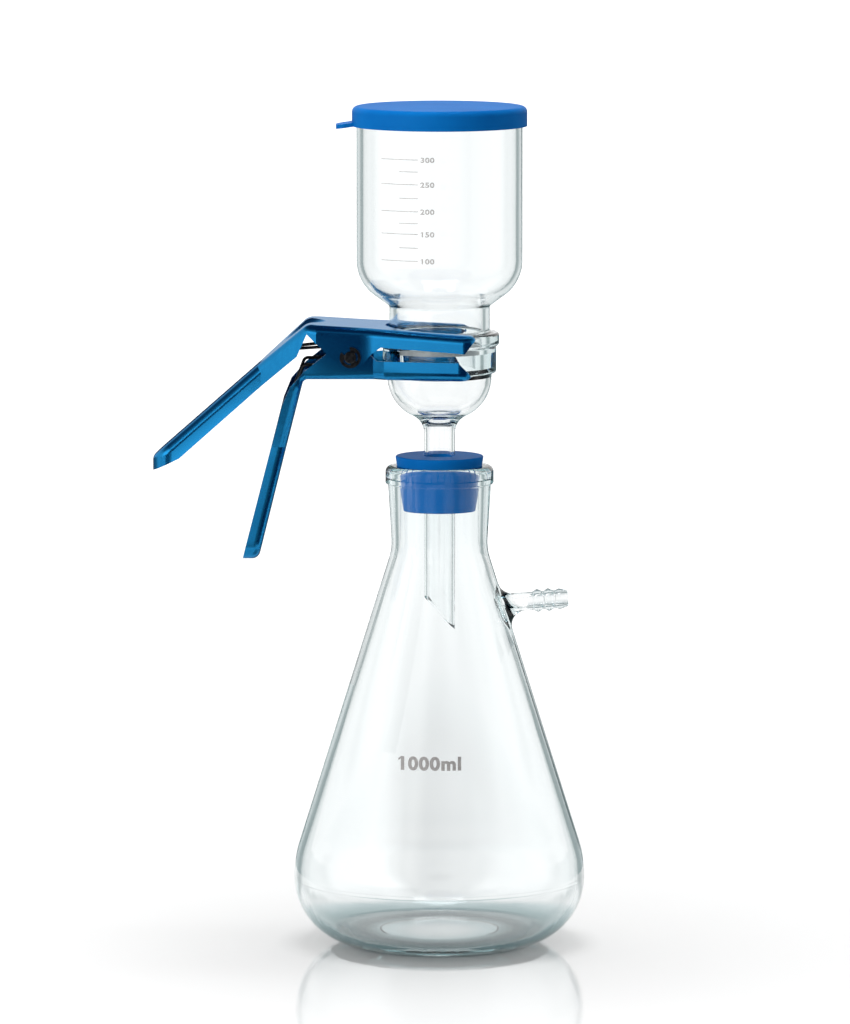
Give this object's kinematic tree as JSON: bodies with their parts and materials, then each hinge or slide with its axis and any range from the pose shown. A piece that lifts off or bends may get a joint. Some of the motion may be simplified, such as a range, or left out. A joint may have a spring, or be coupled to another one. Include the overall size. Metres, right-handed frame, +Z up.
{
  "type": "vacuum filtration unit",
  "caption": "Glass filter funnel with a lid, held by a sprung fork clamp to a fritted support base whose stem passes a stopper into a conical side-arm vacuum flask.",
  "frame": {"origin": "centre of the flask's foot, on the bench", "axes": "+Z up along the common axis of flask, base and funnel; +X towards the flask's side arm, away from the clamp's handles"},
  "size_m": [0.2028, 0.1368, 0.3954],
  "materials": {
    "clear_glass": "clear polished borosilicate glass, faintly grey-green at its edges",
    "sintered_glass": "white-grey porous sintered glass, matt",
    "blue_silicone": "opaque royal blue silicone rubber, satin",
    "blue_anodised_aluminium": "bright blue anodised, smooth metallic sheen",
    "black_steel": "blackened spring steel, slightly oiled"
  },
  "bodies": {
    "unit": {"filter_flask": "clear_glass", "stopper": "blue_silicone", "support_base": "clear_glass", "frit_disc": "sintered_glass", "funnel": "clear_glass", "lid": "blue_silicone", "lower_jaw": "blue_anodised_aluminium", "pivot_pin": "black_steel", "retaining_clip_front": "black_steel", "retaining_clip_back": "black_steel", "torsion_spring": "black_steel"},
    "upper_jaw": {"upper_jaw": "blue_anodised_aluminium"}
  },
  "joints": [
    {"name": "clamp_pivot", "type": "hinge", "parent": "unit", "child": "upper_jaw", "pos_m": [-0.0416, 0, 0.28], "axis": [0, -1, 0], "range_deg": [0, 14], "stiffness_Nm_per_rad": 2, "springref_deg": -28.65, "deforming": ["torsion_spring"]}
  ]
}
